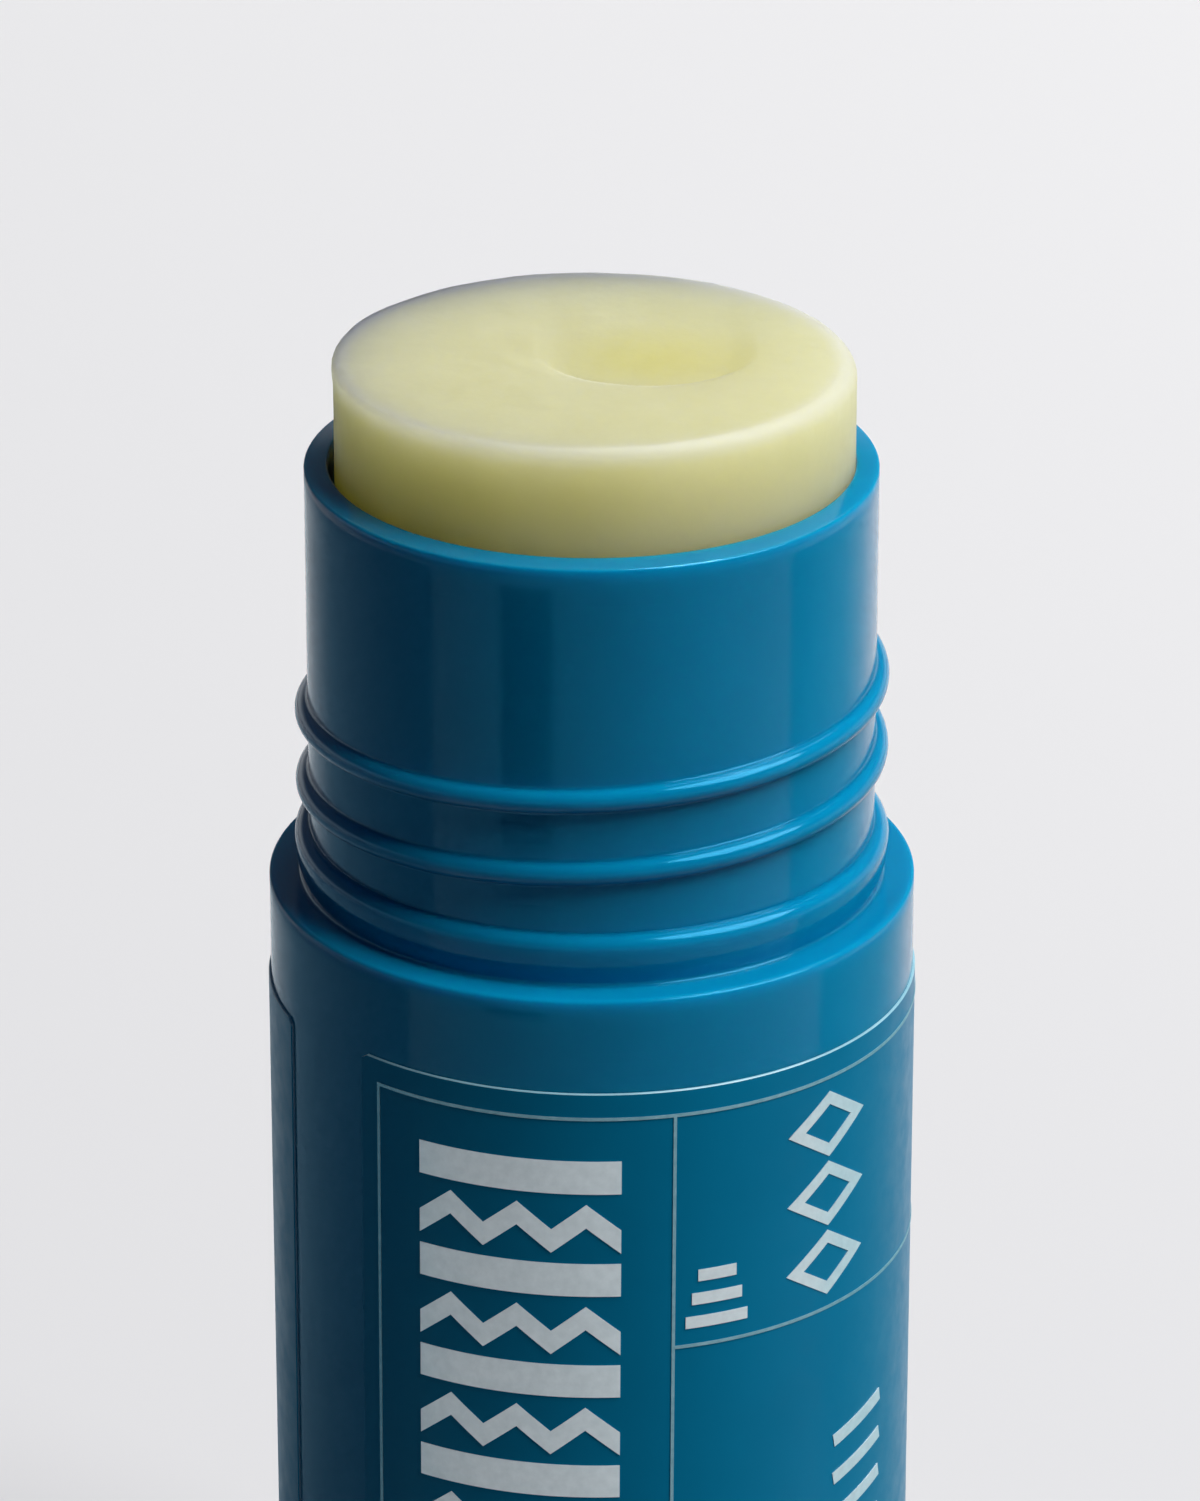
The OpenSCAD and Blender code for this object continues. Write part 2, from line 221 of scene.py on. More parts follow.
def eased(outline, gap=0.04):
    """The outline with a point near each end of its long straight stretches, to keep shading flat."""
    points = [outline[0]]
    for a, b in zip(outline, outline[1:]):
        a, b = np.array(a), np.array(b)
        length = np.linalg.norm(b - a)
        if length > 6 * gap:
            points += [tuple(a + (b - a) * gap / length), tuple(b - (b - a) * gap / length)]
        points.append(tuple(b))
    return points


def lathe(shell, outline, bearings):
    return shell.skin([around(bearings, r, z) for r, z in outline])


def smooth(t):
    t = np.clip(t, 0, 1)
    return t * t * (3 - 2 * t)


def wander(bearings, scale, seed, octaves=2):
    """Seamless noise round a ring, about -1 to 1."""
    out = []
    for b in np.radians(bearings):
        at = Vector((math.sin(b) * scale, math.cos(b) * scale, seed))
        out.append(noise.fractal(at, 1.0, 2.0, octaves))
    return np.array(out)


# Materials

def material(name, **sockets):
    """A Principled material. Sockets are named with underscores for spaces."""
    made = bpy.data.materials.new(name)
    made.use_nodes = True
    shader = made.node_tree.nodes["Principled BSDF"]
    for socket, value in sockets.items():
        shader.inputs[socket.replace("_", " ").title().replace("Ior", "IOR")].default_value = value
    return made


def shader_of(made):
    return made.node_tree.nodes["Principled BSDF"]


def noise_field(made, scale, stretch=(1, 1, 1), detail=3.0, roughness=0.55):
    """Noise in the piece's own coordinates, in waves per metre. stretch multiplies them along each axis."""
    tree = made.node_tree
    place = tree.nodes.new("ShaderNodeTexCoord")
    mapping = tree.nodes.new("ShaderNodeMapping")
    mapping.inputs["Scale"].default_value = stretch
    field = tree.nodes.new("ShaderNodeTexNoise")
    field.inputs["Scale"].default_value = scale
    field.inputs["Detail"].default_value = detail
    field.inputs["Roughness"].default_value = roughness
    tree.links.new(place.outputs["Object"], mapping.inputs["Vector"])
    tree.links.new(mapping.outputs["Vector"], field.inputs["Vector"])
    return field.outputs["Fac"]


def ramp(made, source, stops):
    """A colour ramp over a field; stops are (place, colour)."""
    tree = made.node_tree
    node = tree.nodes.new("ShaderNodeValToRGB")
    elements = node.color_ramp.elements
    while len(elements) < len(stops):
        elements.new(0.5)
    for element, (place, colour) in zip(elements, stops):
        element.position = place
        element.color = (*colour, 1)
    tree.links.new(source, node.inputs["Fac"])
    return node.outputs["Color"]


def spread(made, source, low, high):
    """Maps a field's useful range, about 0.3 to 0.7, to low..high."""
    tree = made.node_tree
    node = tree.nodes.new("ShaderNodeMapRange")
    node.inputs["From Min"].default_value = 0.3
    node.inputs["From Max"].default_value = 0.7
    node.inputs["To Min"].default_value = low
    node.inputs["To Max"].default_value = high
    tree.links.new(source, node.inputs["Value"])
    return node.outputs["Result"]


def bump(made, height, distance, strength=1.0, under=None):
    tree = made.node_tree
    node = tree.nodes.new("ShaderNodeBump")
    node.inputs["Strength"].default_value = strength
    node.inputs["Distance"].default_value = distance
    tree.links.new(height, node.inputs["Height"])
    if under is not None:
        tree.links.new(under, node.inputs["Normal"])
    return node.outputs["Normal"]


def local_point(made):
    """The shaded point in the piece's own coordinates."""
    return made.node_tree.nodes.new("ShaderNodeTexCoord").outputs["Object"]


def height_of(made):
    """The shaded point's height in the piece's own coordinates."""
    split = made.node_tree.nodes.new("ShaderNodeSeparateXYZ")
    made.node_tree.links.new(local_point(made), split.inputs["Vector"])
    return split.outputs["Z"]


def number_math(made, operation, source, value=0.0):
    """One step of arithmetic on a number. value is a fixed number or another output."""
    node = made.node_tree.nodes.new("ShaderNodeMath")
    node.operation = operation
    made.node_tree.links.new(source, node.inputs[0])
    if isinstance(value, float):
        node.inputs[1].default_value = value
    else:
        made.node_tree.links.new(value, node.inputs[1])
    return node.outputs[0]


def vector_math(made, operation, source, value=None):
    node = made.node_tree.nodes.new("ShaderNodeVectorMath")
    node.operation = operation
    made.node_tree.links.new(source, node.inputs[0])
    if value is not None:
        node.inputs[1].default_value = value
    return node.outputs["Value" if operation == "LENGTH" else "Vector"]


def fall(made, distance, reach):
    """1 where a distance is 0, falling to 0 at a reach in metres."""
    node = made.node_tree.nodes.new("ShaderNodeMapRange")
    node.interpolation_type = "SMOOTHSTEP"
    node.inputs["From Max"].default_value = reach
    node.inputs["To Min"].default_value = 1
    node.inputs["To Max"].default_value = 0
    made.node_tree.links.new(distance, node.inputs["Value"])
    return node.outputs["Result"]


def near(made, centre, reach, squeeze):
    """How near the surface is to a point, in millimetres. squeeze multiplies them along each axis."""
    off = vector_math(made, "SUBTRACT", local_point(made), tuple(c * MM for c in centre))
    return fall(made, vector_math(made, "LENGTH", vector_math(made, "MULTIPLY", off, squeeze)), reach * MM)


def near_edge(made, radius, height, reach):
    """How near the surface is to a level circle about the piece's axis, all in millimetres."""
    tree = made.node_tree
    flat = vector_math(made, "MULTIPLY", local_point(made), (1, 1, 0))
    across = tree.nodes.new("ShaderNodeCombineXYZ")
    tree.links.new(vector_math(made, "LENGTH", flat), across.inputs["X"])
    tree.links.new(height_of(made), across.inputs["Z"])
    off = vector_math(made, "SUBTRACT", across.outputs["Vector"], (radius * MM, 0, height * MM))
    return fall(made, vector_math(made, "LENGTH", off), reach * MM)


def blend(tree, share, at_none, at_full):
    """A colour between two, by a share from 0 to 1. Each is an output or a fixed colour."""
    mix = tree.nodes.new("ShaderNodeMix")
    mix.data_type = "RGBA"
    tree.links.new(share, mix.inputs["Factor"])
    for socket, value in ((mix.inputs[6], at_none), (mix.inputs[7], at_full)):
        if isinstance(value, tuple):
            socket.default_value = (*value, 1)
        else:
            tree.links.new(value, socket)
    return mix.outputs[2]


def feed(made, output, socket):
    made.node_tree.links.new(output, shader_of(made).inputs[socket])


def edge_glow(made, edges, depth=0.19, reach=0.26):
    """Imitates light that soaks into an edge and comes out below it: the wall's shading turns up there."""
    glow = None
    for edge in edges:
        over = number_math(made, "SUBTRACT", height_of(made), edge * MM)
        over = number_math(made, "MULTIPLY", over, 1 / (reach * MM))
        soaked = number_math(made, "EXPONENT", number_math(made, "MINIMUM", over, 0.0))
        glow = soaked if glow is None else number_math(made, "ADD", glow, soaked)
    return bump(made, glow, -depth * MM)


def tube_plastic(name):
    made = material(name, specular_ior_level=0.42, specular_tint=(0.1, 0.62, 1.0, 1),
                    subsurface_weight=1.0, subsurface_radius=(1.0, 1.0, 0.95), subsurface_scale=0.0013)
    cloud = noise_field(made, 160, detail=4)
    blues = [(0.35, (0.0004, 0.225, 0.415)), (0.65, (0.0008, 0.243, 0.445))]
    feed(made, ramp(made, cloud, blues), "Base Color")
    scuff = noise_field(made, 900, stretch=(0.05, 0.05, 8), detail=5)
    feed(made, spread(made, scuff, 0.07, 0.14), "Roughness")
    rings = bump(made, scuff, 0.000004, under=edge_glow(made, (SHELF_Z, RIM_Z)))
    grain = noise_field(made, 4200, detail=2)
    feed(made, bump(made, grain, 0.000002, under=rings), "Normal")
    return made


def elevator_plastic():
    made = material("elevator_plastic", specular_ior_level=0.4, subsurface_weight=0.3,
                    subsurface_radius=(0.002, 0.002, 0.0016), subsurface_scale=1.0)
    cloud = noise_field(made, 220, detail=3)
    feed(made, ramp(made, cloud, [(0.35, (0.66, 0.68, 0.63)), (0.65, (0.72, 0.74, 0.69))]), "Base Color")
    feed(made, spread(made, noise_field(made, 1400), 0.38, 0.52), "Roughness")
    return made


def balm_wax():
    made = material("balm_wax", specular_ior_level=0.25, subsurface_weight=1.0,
                    subsurface_radius=(1.0, 0.95, 0.60), subsurface_scale=0.018)
    cloud = noise_field(made, 260, detail=5)
    wax = ramp(made, cloud, [(0.3, (0.600, 0.565, 0.290)), (0.7, (0.635, 0.600, 0.325))])
    # Painted shade: the worn hollow in the top is painted a darker, more saturated yellow, for the light it
    # loses.
    hollow_shade_share = near(made, centre=(DISH_X + 0.3, DISH_Y - 1.2, BALM_TOP), reach=5.6, squeeze=(1, 1.25, 0.6))
    deep = blend(made.node_tree, hollow_shade_share, wax, (0.615, 0.560, 0.20))
    # Painted light: a paler band along the balm's top edge, standing in for light that glows out of the
    # edge.
    painted_edge_glow = near_edge(made, radius=9.8, height=BALM_TOP - 0.1, reach=0.75)
    feed(made, blend(made.node_tree, painted_edge_glow, deep, (0.65, 0.62, 0.39)), "Base Color")
    feed(made, spread(made, noise_field(made, 1300, detail=5), 0.44, 0.62), "Roughness")
    waves = bump(made, noise_field(made, 420, detail=4), 0.00004)
    feed(made, bump(made, noise_field(made, 3200, detail=3), 0.000006, under=waves), "Normal")
    return made


def film_plastic():
    made = material("film_plastic", specular_ior_level=0.3, specular_tint=(0.0, 0.7, 1.0, 1))
    cloud = noise_field(made, 140, detail=4)
    blues = [(0.35, (0.0008, 0.165, 0.310)), (0.65, (0.0012, 0.180, 0.335))]
    feed(made, ramp(made, cloud, blues), "Base Color")
    feed(made, spread(made, noise_field(made, 1100, detail=4), 0.30, 0.42), "Roughness")
    feed(made, bump(made, noise_field(made, 700, detail=3), 0.000006), "Normal")
    return made


def film_edge():
    made = material("film_edge", specular_ior_level=0.5, roughness=0.35)
    cloud = noise_field(made, 900, detail=3)
    feed(made, ramp(made, cloud, [(0.35, (0.26, 0.50, 0.58)), (0.65, (0.32, 0.58, 0.66))]), "Base Color")
    return made


def ink():
    made = material("label_ink", specular_ior_level=0.3, metallic=0.5)
    mottle = noise_field(made, 2600, detail=4)
    feed(made, ramp(made, mottle, [(0.3, (0.66, 0.75, 0.77)), (0.7, (0.74, 0.83, 0.85))]), "Base Color")
    feed(made, spread(made, noise_field(made, 1100, detail=4), 0.36, 0.5), "Roughness")
    return made


def rule_ink():
    made = material("rule_ink", specular_ior_level=0.3, metallic=0.4)
    mottle = noise_field(made, 3200, detail=4)
    feed(made, ramp(made, mottle, [(0.3, (0.18, 0.38, 0.45)), (0.7, (0.26, 0.47, 0.54))]), "Base Color")
    feed(made, spread(made, noise_field(made, 1100, detail=4), 0.36, 0.5), "Roughness")
    return made


# The tube

def bead_profile():
    """Heights across the bead and how far it stands out there: a round crest that runs into root fillets."""
    reach = math.sqrt((BEAD_R + BEAD_ROOT) ** 2 - (BEAD_ROOT - BEAD_OUT) ** 2)
    meet = math.degrees(math.atan2(reach, BEAD_ROOT - BEAD_OUT))
    half = [(BEAD_R * math.sin(t), BEAD_OUT + BEAD_R * math.cos(t))
            for t in np.radians(np.linspace(0, meet, 12))]
    half += [(reach - BEAD_ROOT * math.sin(t), BEAD_ROOT - BEAD_ROOT * math.cos(t))
             for t in np.radians(np.linspace(meet, 0, 8)[1:])]
    half += [(reach + gap, 0) for gap in (0.03, 0.3)]
    return [(-across, out) for across, out in half[:0:-1]] + half + [(PITCH / 2, 0)]


def thread_rows(bearings):
    """Rows that follow the thread up the neck, cut off level at the zone's foot and top."""
    rows = []
    for turn in ROW_TURNS:
        run = bearings + 360 * turn
        fade = smooth(np.minimum(run - BEAD_FROM, BEAD_TO - run) / BEAD_FADE)
        for across, out in bead_profile():
            z = BEAD_FRONT + PITCH * run / 360 + across
            inside = (z > THREAD_LOW) & (z < THREAD_HIGH)
            rows.append(around(bearings, NECK_R + np.where(inside, fade * out, 0),
                               np.clip(z, THREAD_LOW, THREAD_HIGH)))
    return rows


def collar_profile():
    """The collar bulges: it comes in again below its crest, and a small fillet ends it on the shelf."""
    crest_z, fillet_z = SHELF_Z + COLLAR_H - COLLAR_ROUND, SHELF_Z + COLLAR_FILLET
    lean = math.degrees(math.asin((crest_z - fillet_z) / (COLLAR_BARREL + COLLAR_FILLET)))
    fillet_r = COLLAR_R - COLLAR_BARREL + (COLLAR_BARREL + COLLAR_FILLET) * math.cos(math.radians(lean))
    return (arc(fillet_r, fillet_z, COLLAR_FILLET, 270, 180 - lean, 9)
            + arc(COLLAR_R - COLLAR_BARREL, crest_z, COLLAR_BARREL, -lean * 0.9, 0, 6)
            + arc(COLLAR_R - COLLAR_ROUND, crest_z, COLLAR_ROUND, 8, 90, 10)
            + [(NECK_R, SHELF_Z + COLLAR_H + 0.05)])


def tube_body(plastic):
    shell = Shell()
    bearings = np.linspace(-180, 180, COLUMNS + 1)
    body = eased(
        [(HOLE_R, FOOT_Z), (BODY_R - FOOT_CHAMFER, FOOT_Z), (BODY_R, FOOT_Z + FOOT_CHAMFER)]
        + arc(BODY_R - SHELF_ROUND, SHELF_Z - SHELF_ROUND, SHELF_ROUND, 0, 90)
        + collar_profile())
    rim = eased(
        [(NECK_R, THREAD_HIGH)]
        + arc(NECK_R - RIM_ROUND, RIM_Z - RIM_ROUND, RIM_ROUND, 0, 90)
        + arc(BORE_R + RIM_INNER, RIM_Z + RIM_CROWN - RIM_INNER, RIM_INNER, 90, 180, 5)
        + [(BORE_R, PLATE_Z), (HOLE_R, PLATE_Z), (HOLE_R, FOOT_Z)])
    foot = lathe(shell, body, bearings)
    thread = shell.skin(thread_rows(bearings))
    top = lathe(shell, rim, bearings)
    shell.bridge(foot[-1], thread[0])
    shell.bridge(thread[-1], top[0])
    for bearing in RIB_BEARINGS:
        guide_rib(shell, bearing)
    return shell.build("tube", [plastic])


def guide_rib(shell, bearing):
    """A rib in the bore, rooted in its wall."""
    inner, outer, half = BORE_R - RIB_H, BORE_R + RIB_ROOT, RIB_W / 2
    turn = math.radians(bearing)
    across = np.array([math.cos(turn), math.sin(turn), 0])
    out = np.array([math.sin(turn), -math.cos(turn), 0])
    shell.box([out * r + across * s + (0, 0, z) for z in (PLATE_Z - RIB_ROOT, RIB_TOP)
               for r, s in ((inner, -half), (outer, -half), (outer, half), (inner, half))])


# The balm

def dish(x, y):
    """Depth of the worn hollow in the balm's top: a short steep front and a long rise to the back."""
    side = 1 - ((x - DISH_X) / DISH_A) ** 2
    lip = DISH_Y - DISH_B * np.sqrt(np.clip(side, 0, 1))
    front = smooth((y - lip) / DISH_FRONT)
    back = 1 - smooth((y - lip) / (2 * DISH_B))
    return DISH_DEPTH * smooth(DISH_FLOOR * side) * front * back


def balm_top(ring, lip_r, round_r, crown):
    """Rows from the middle of the top out to the side: the swell, the hollow and the rounded edge."""

    def top_ring(r):
        points = ring(r, BALM_TOP)
        spots = [Vector((x * SWELL_SCALE, y * SWELL_SCALE, 3.1)) for x, y, _ in points]
        swell = np.array([BALM_SWELL * noise.fractal(spot, 1.0, 2.0, 3) for spot in spots])
        rise = crown * smooth((r - (BALM_R - CROWN_IN)) / CROWN_W)
        hollow = dish(points[:, 0], points[:, 1])
        points[:, 2] += swell * smooth(BALM_R - r) + rise - hollow
        return points

    inner = BALM_R - BALM_EDGE
    rows = [top_ring(np.full(BALM_COLUMNS, r)) for r in np.arange(BALM_STEP, inner, BALM_STEP)]
    rows += [top_ring(inner + (lip_r - round_r - inner) * share) for share in np.linspace(0, 0.92, 7)]
    for t in np.radians(np.linspace(84, 0, 11)):
        rows.append(ring(lip_r - round_r * (1 - math.cos(t)),
                         BALM_TOP + crown - round_r * (1 - math.sin(t))))
    return rows


def balm_side(ring, lip_r, round_r, limit, sin, cos):
    """Rows down the part of the side that shows, where the burr fades and the wall wavers a little."""
    rows = []
    for depth in (0.08, 0.18, 0.3, 0.45, 0.65, 0.9, 1.2, 1.6, 2.1, 2.7, 3.3):
        keep = 1 - smooth(depth / BALM_SAG)
        waver = np.array([BALM_WAVER * noise.fractal(Vector((s * 3, c * 3, depth * 0.8)), 1.0, 2.0, 3)
                          for s, c in zip(sin, cos)])
        side_r = np.minimum(BALM_R + (lip_r - BALM_R) * keep + waver, limit)
        rows.append(ring(side_r, BALM_TOP - round_r - depth))
    return rows + [ring(BALM_R, SLOT_TOP + 0.3)]


def balm_core(ring, bearings, sin, cos):
    """Rows down the slotted part in the tube, into the cup and up the hole round the nut and screw."""
    tube_x, tube_y = BALM_X + BALM_R * sin, BALM_Y - BALM_R * cos
    bearing = np.degrees(np.arctan2(tube_x, -tube_y))
    in_slot = np.any([abs((bearing - rib + 180) % 360 - 180) < SLOT_HALF for rib in RIB_BEARINGS], axis=0)
    slot_scale = np.where(in_slot, SLOT_R / np.hypot(tube_x, tube_y), 1)

    def slotted(z):
        return np.stack([tube_x * slot_scale, tube_y * slot_scale, np.full(BALM_COLUMNS, z)], axis=-1)

    rows = [ring(BALM_R, SLOT_TOP), slotted(SLOT_TOP - 0.02), slotted(SLOT_TOP - 0.2)]
    rows += [slotted(z) for z in np.linspace(SLOT_TOP - 3, CUP_RIM + 0.02, 9)]
    return rows + [around(bearings, r, z) for r, z in
                   ((CUP_IN, CUP_RIM), (CUP_IN, BALM_FOOT), (NUT_R, BALM_FOOT), (NUT_R, NUT_TOP),
                    (SCREW_R, NUT_TOP), (SCREW_R, SCREW_TOP))]


def balm_stick(wax):
    shell = Shell()
    bearings = np.linspace(-180, 180, BALM_COLUMNS)
    sin, cos = np.sin(np.radians(bearings)), np.cos(np.radians(bearings))
    # The lip is uneven: more burr on the left, a rounder edge on the right
    burr = 0.03 - 0.03 * sin + 0.025 * wander(bearings, 3.2, 1.5, 3) + 0.015 * wander(bearings, 16, 4.2, 3)
    crown = 0.03 + 0.025 * wander(bearings, 4, 7.7, 3)
    round_r = 0.42 + 0.24 * sin + 0.04 * wander(bearings, 5, 2.2, 2)
    limit = BORE_R - 0.01 - BALM_X * sin + BALM_Y * cos
    lip_r = np.minimum(BALM_R + burr, limit)

    def ring(r, z):
        x = BALM_X + r * sin
        y = BALM_Y - r * cos
        return np.stack(np.broadcast_arrays(x, y, z - BALM_TILT * y * smooth((z - RIM_Z) / 2)), axis=-1)

    rows = balm_top(ring, lip_r, round_r, crown)
    rows += balm_side(ring, lip_r, round_r, limit, sin, cos)
    rows += balm_core(ring, bearings, sin, cos)
    index = shell.skin(rows)
    middles = ((BALM_X, BALM_Y, rows[0][:, 2].mean()), (0, 0, SCREW_TOP))
    for ends, middle in zip((index[0], index[-1]), middles):
        centre = shell.row([middle])[0]
        for a, b in zip(ends, ends[1:]):
            shell.face((centre, a, b))
    return shell.build("balm", [wax], crease=50)


# The label

def u_at(bearing):
    return math.radians(bearing - LABEL_START) * LABEL_R


def on_label(u, v, r):
    """Places label points on the tube, with the label's slight slope."""
    u, v = np.asarray(u, float), np.asarray(v, float)
    bearing = LABEL_START + np.degrees((u + v * LABEL_LEAN) / LABEL_R)
    return around(bearing, r, LABEL_TOP + LABEL_RISE * u / LABEL_U - v)


def label_film(film, edge):
    """A flat face with a small bevel all round, rounded corners and a cut edge of its own material."""
    shell = Shell()
    us = np.linspace(0, LABEL_U, LABEL_COLUMNS)
    us = np.concatenate([[0, LABEL_BEVEL], us[1:-1], [LABEL_U - LABEL_BEVEL, LABEL_U]])
    vs = np.linspace(0.5, LABEL_V - 0.5, LABEL_ROWS)
    vs = np.concatenate([[0, LABEL_BEVEL], vs, [LABEL_V - LABEL_BEVEL, LABEL_V]])
    past = np.maximum(LABEL_CORNER - np.minimum(us, LABEL_U - us), 0)
    inset = LABEL_CORNER - np.sqrt(np.maximum(LABEL_CORNER ** 2 - past ** 2, 0))

    def row(v, r, end_drop=0.0):
        drop = np.where(v < LABEL_V / 2, np.maximum(inset, v), LABEL_V - np.maximum(inset, LABEL_V - v))
        radius = np.full(len(us), float(r))
        radius[[0, -1]] -= end_drop
        return on_label(us, drop, radius)

    outer = [row(v, LABEL_R, LABEL_BEVEL) for v in vs[1:-1]]
    outer = [row(vs[0], LABEL_R - LABEL_BEVEL)] + outer + [row(vs[-1], LABEL_R - LABEL_BEVEL)]
    inner = [row(v, BODY_R + 0.001) for v in (vs[-1], vs[0])]
    index = [shell.row(points) for points in outer + inner]
    for n, (a, b) in enumerate(zip(index, index[1:] + index[:1])):
        shell.bridge(b, a, 0 if 0 < n < len(outer) - 2 else 1)
    for side in (0, -1):
        loop = [points[side] for points in index]
        shell.face(loop if side else loop[::-1], 1)
    return shell.build("label_film_wrap", [film, edge], crease=30)


# Print: generic shapes, placed along (u) and down (v) the label
INK_LOW, INK_TOP = LABEL_R + 0.004, LABEL_R + 0.03
RULE_W = 0.13
FRAME_V = 1.05
FRAME_FOOT = LABEL_V - 1.1
FRAME_LEFT, FRAME_RIGHT, DIVIDER = u_at(-39.8), u_at(118), u_at(14.5)
CELL_V = FRAME_V + 10.0
BAND_MID, BAND_W = u_at(-12.9), 8.1
BAND_TOP = FRAME_V + 1.8
BAR_T, REPEAT_H, BAND_ROWS = 1.4, 4.4, 6
ZIGZAGS, ZIGZAG_RISE, ZIGZAG_T = 3, 1.1, 1.0
MOTIF_MID, MOTIF_W, MOTIF_H, MOTIFS = u_at(46), 4.3, 2.8, 3
MOTIF_GAP, MOTIF_HOLE = 0.5, 0.6
MARK_MID, MARK_W, MARK_T, MARKS = u_at(22.5), 2.6, 0.5, 3
HATCH_MID, HATCH_L, HATCH_T, HATCHES = u_at(56), 3.4, 0.55, 4
HATCH_TILT, HATCH_DROP, HATCH_PITCH = 12, 5.8, 1.7


def patch(shell, corners, step=0.3):
    """A printed quad on the label from four (u, v) corners: foot left, foot right, top right, top left."""
    c = np.array(corners, float)
    across = max(abs(c[1, 0] - c[0, 0]), abs(c[2, 0] - c[3, 0]))
    s = np.linspace(0, 1, max(2, math.ceil(across / step) + 1))
    foot = c[0] + (c[1] - c[0]) * s[:, None]
    top = c[3] + (c[2] - c[3]) * s[:, None]
    rows = [shell.row(on_label(p[:, 0], p[:, 1], r)) for p, r in
            ((foot, INK_LOW), (foot, INK_TOP), (top, INK_TOP), (top, INK_LOW))]
    for a, b in zip(rows, rows[1:] + rows[:1]):
        shell.bridge(a, b)
    for end in (0, -1):
        loop = [r[end] for r in rows]
        shell.face(loop[::-1] if end == 0 else loop)


def bar(shell, left, right, top, foot):
    patch(shell, [(left, foot), (right, foot), (right, top), (left, top)])


def frame_rules(rule):
    shell = Shell()
    half = RULE_W / 2
    for v in (FRAME_V, FRAME_FOOT):
        bar(shell, FRAME_LEFT - half, FRAME_RIGHT + half, v - half, v + half)
    bar(shell, DIVIDER + half, FRAME_RIGHT - half, CELL_V - half, CELL_V + half)
    for u in (FRAME_LEFT, DIVIDER, FRAME_RIGHT):
        bar(shell, u - half, u + half, FRAME_V + half, FRAME_FOOT - half)
    return shell.build("label_rules", [rule], weld=0.0001)


def broad_band(shell):
    left = BAND_MID - BAND_W / 2
    run = BAND_W / ZIGZAGS / 2
    for i in range(BAND_ROWS):
        top = BAND_TOP + i * REPEAT_H
        bar(shell, left, left + BAND_W, top, top + BAR_T)
        middle = top + BAR_T + (REPEAT_H - BAR_T) / 2
        for k in range(2 * ZIGZAGS):
            a, b = (ZIGZAG_RISE / 2, -ZIGZAG_RISE / 2) if k % 2 == 0 else (-ZIGZAG_RISE / 2, ZIGZAG_RISE / 2)
            u = left + k * run
            patch(shell, [(u, middle + a + ZIGZAG_T / 2), (u + run, middle + b + ZIGZAG_T / 2),
                          (u + run, middle + b - ZIGZAG_T / 2), (u, middle + a - ZIGZAG_T / 2)])


def rhombs(shell):
    step = (CELL_V - FRAME_V - 2 * MOTIF_GAP) / MOTIFS
    corner = [(MOTIF_W / 2, 0), (0, -MOTIF_H / 2), (-MOTIF_W / 2, 0), (0, MOTIF_H / 2)]
    for i in range(MOTIFS):
        middle = FRAME_V + MOTIF_GAP + (i + 0.5) * step
        for (u0, v0), (u1, v1) in zip(corner, corner[1:] + corner[:1]):
            patch(shell, [(MOTIF_MID + u0, middle + v0),
                          (MOTIF_MID + u1, middle + v1),
                          (MOTIF_MID + MOTIF_HOLE * u1, middle + MOTIF_HOLE * v1),
                          (MOTIF_MID + MOTIF_HOLE * u0, middle + MOTIF_HOLE * v0)])


def stepped_marks(shell):
    for i in range(MARKS):
        half, middle = (MARK_W - i * MARK_T) / 2, CELL_V - (i + 1) * 2 * MARK_T
        bar(shell, MARK_MID - half, MARK_MID + half, middle - MARK_T / 2, middle + MARK_T / 2)


def slanted_strokes(shell):
    tilt = math.radians(HATCH_TILT)
    reach = np.array([math.cos(tilt), -math.sin(tilt)]) * HATCH_L / 2
    rise = np.array([-math.sin(tilt), -math.cos(tilt)]) * HATCH_T / 2
    for i in range(HATCHES):
        middle = np.array([HATCH_MID, CELL_V + HATCH_DROP + i * HATCH_PITCH])
        patch(shell, [middle - reach - rise, middle + reach - rise,
                      middle + reach + rise, middle - reach + rise])


def label_print(white):
    shell = Shell()
    broad_band(shell)
    rhombs(shell)
    stepped_marks(shell)
    slanted_strokes(shell)
    return shell.build("label_shapes", [white], weld=0.0001)


# Stage, lights and camera

def sight(tree):
    """1 for a ray that looks at the room, from the camera or by gloss or glass, and 0 for any other."""
    path = tree.nodes.new("ShaderNodeLightPath")
    either = path.outputs["Is Camera Ray"]
    for other in ("Is Glossy Ray", "Is Transmission Ray"):
        most = tree.nodes.new("ShaderNodeMath")
        most.operation = "MAXIMUM"
        tree.links.new(either, most.inputs[0])
        tree.links.new(path.outputs[other], most.inputs[1])
        either = most.outputs[0]
    return either


def floor(bounce):
    """Pale paper to look at, which throws back only a little light."""
    made = material("floor_paper", roughness=0.9, specular_ior_level=0.1)
    tree = made.node_tree
    place = tree.nodes.new("ShaderNodeTexCoord")
    split = tree.nodes.new("ShaderNodeSeparateXYZ")
    tree.links.new(place.outputs["Object"], split.inputs["Vector"])
    # Painted shade: the paper looks darker near the object and paler far behind it.
    depth = tree.nodes.new("ShaderNodeMapRange")
    depth.inputs["From Max"].default_value = 0.3
    tree.links.new(split.outputs["Y"], depth.inputs["Value"])
    pale = ramp(made, depth.outputs["Result"], [(0, (0.692, 0.682, 0.684)), (1, (0.865, 0.852, 0.845))])
    feed(made, blend(tree, sight(tree), bounce, pale), "Base Color")
    bpy.ops.mesh.primitive_circle_add(vertices=96, radius=4, fill_type="NGON", location=(0, 0, 0))
    disc = bpy.context.object
    disc.name = "floor"
    disc.data.materials.append(made)


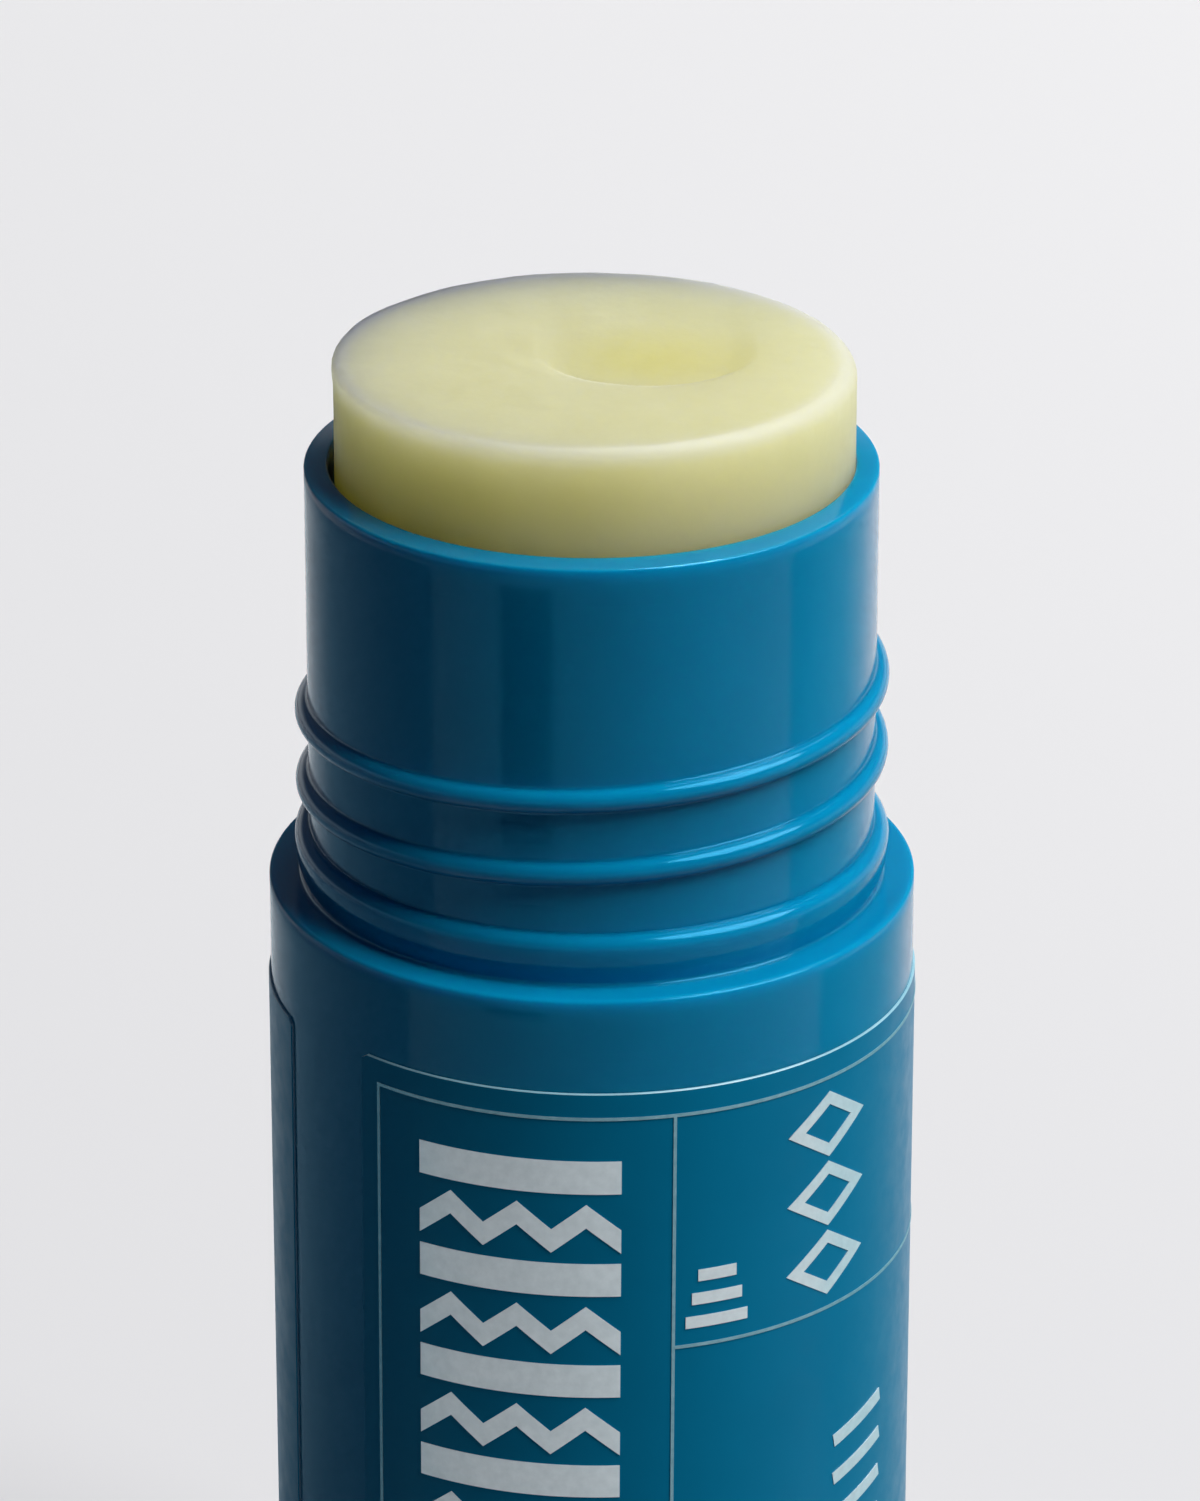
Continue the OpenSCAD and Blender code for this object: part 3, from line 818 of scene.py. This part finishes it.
def world(ambient, horizon, low, above):
    """A room that looks pale at the horizon and dim higher up, and gives a little light from all round."""
    made = bpy.data.worlds.new("room")
    bpy.context.scene.world = made
    made.use_nodes = True
    tree = made.node_tree
    place = tree.nodes.new("ShaderNodeTexCoord")
    split = tree.nodes.new("ShaderNodeSeparateXYZ")
    tree.links.new(place.outputs["Generated"], split.inputs["Vector"])
    by_height = [(0.14, horizon), (0.30, low), (0.42, low), (0.60, above)]
    room = ramp(made, split.outputs["Z"], by_height)
    tree.links.new(blend(tree, sight(tree), ambient, room), tree.nodes["Background"].inputs["Color"])


def card(name, near, far, shades):
    """A card on the floor that only gloss shows, from near to far in mm. shades are (bearing, colour)."""
    shell = Shell()
    start, end = shades[0][0], shades[-1][0]
    middle = (start + end) / 2
    shell.skin([around(np.linspace(start, end, 41) - middle, r, 1.0) for r in (near, far)])
    made = material(name, roughness=1.0, specular_ior_level=0.0)
    turn = made.node_tree.nodes.new("ShaderNodeTexGradient")
    turn.gradient_type = "RADIAL"
    made.node_tree.links.new(local_point(made), turn.inputs["Vector"])
    stops = [(0.25 + (bearing - middle) / 360, colour) for bearing, colour in shades]
    feed(made, ramp(made, turn.outputs["Fac"], stops), "Base Color")
    piece = shell.build(name, [made])
    piece.rotation_euler = (0, 0, math.radians(middle))
    for kind in ("camera", "diffuse", "transmission", "volume_scatter", "shadow"):
        setattr(piece, "visible_" + kind, False)


LAMP_AIM = Vector((0, 0, 0.05))


def lamp(name, azimuth, elevation, distance, size, power):
    """A round lamp. Its azimuth is 0 on the camera's side and grows towards +X."""
    a, e = math.radians(azimuth), math.radians(elevation)
    way = Vector((math.sin(a) * math.cos(e), -math.cos(a) * math.cos(e), math.sin(e)))
    light = bpy.data.lights.new(name, "AREA")
    light.shape = "DISK"
    light.size = size
    light.energy = power
    holder = bpy.data.objects.new(name, light)
    bpy.context.scene.collection.objects.link(holder)
    holder.location = LAMP_AIM + way * distance
    holder.rotation_euler = (-way).to_track_quat("-Z", "Y").to_euler()
    return holder


CAMERA_AIM = Vector((0.322, 0, 54.837)) * MM
CAMERA_DISTANCE = 301.2 * MM
CAMERA_ELEVATION = 23.49
CAMERA_LENS = 184.44


def camera():
    e = math.radians(CAMERA_ELEVATION)
    made = bpy.data.cameras.new("camera")
    made.sensor_width = 36
    made.lens = CAMERA_LENS
    made.clip_start = 0.01
    made.clip_end = 20
    holder = bpy.data.objects.new("camera", made)
    bpy.context.scene.collection.objects.link(holder)
    holder.location = CAMERA_AIM + CAMERA_DISTANCE * Vector((0, -math.cos(e), math.sin(e)))
    holder.rotation_euler = (math.pi / 2 - e, 0, 0)
    bpy.context.scene.camera = holder


def dress(piece, body, node):
    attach(piece, body)
    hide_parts(node)


camera()
floor(bounce=(0.05, 0.05, 0.06))
world(ambient=(0.022, 0.034, 0.06), horizon=(0.80, 0.80, 0.80), low=(0.10, 0.11, 0.12),
      above=(0.05, 0.055, 0.065))
lamp("key", azimuth=73, elevation=53, distance=1.6, size=1.2, power=37)

# The glint lamp shows in gloss only, for the small highlights on the thread's beads
glint = lamp("glint", azimuth=145, elevation=70, distance=0.9, size=0.24, power=7)
glint.visible_diffuse = glint.visible_transmission = glint.visible_volume_scatter = False
lamp("back", azimuth=150, elevation=60, distance=1.4, size=0.8, power=2)
card("strip_card", near=136, far=190, shades=[(-35, (0.01, 0.01, 0.01)), (-15, (0.01, 0.01, 0.01))])
card("left_card", near=40, far=260,
     shades=[(-172, (0.70, 0.73, 0.74)), (-150, (0.45, 0.52, 0.56)),
             (-125, (0.20, 0.34, 0.42)), (-64, (0.20, 0.42, 0.50))])
card("right_card", near=40, far=260,
     shades=[(84, (0.10, 0.50, 0.58)), (118, (0.25, 0.55, 0.62)), (142, (0.70, 0.73, 0.74))])

dress(tube_body(tube_plastic("tube_plastic")), "tube", "tube_body")
dress(balm_stick(balm_wax()), "lift", "balm_stick")
dress(label_film(film_plastic(), film_edge()), "tube", "label_film")
dress(frame_rules(rule_ink()), "tube", "label_print")
dress(label_print(ink()), "tube", "label_print")
for node, made in (("twist_dial", tube_plastic("dial_plastic")), ("elevator_cup", elevator_plastic())):
    for place in frame["nodes"][node].material_slots:
        place.material = made

bpy.context.scene.view_settings.view_transform = "Standard"
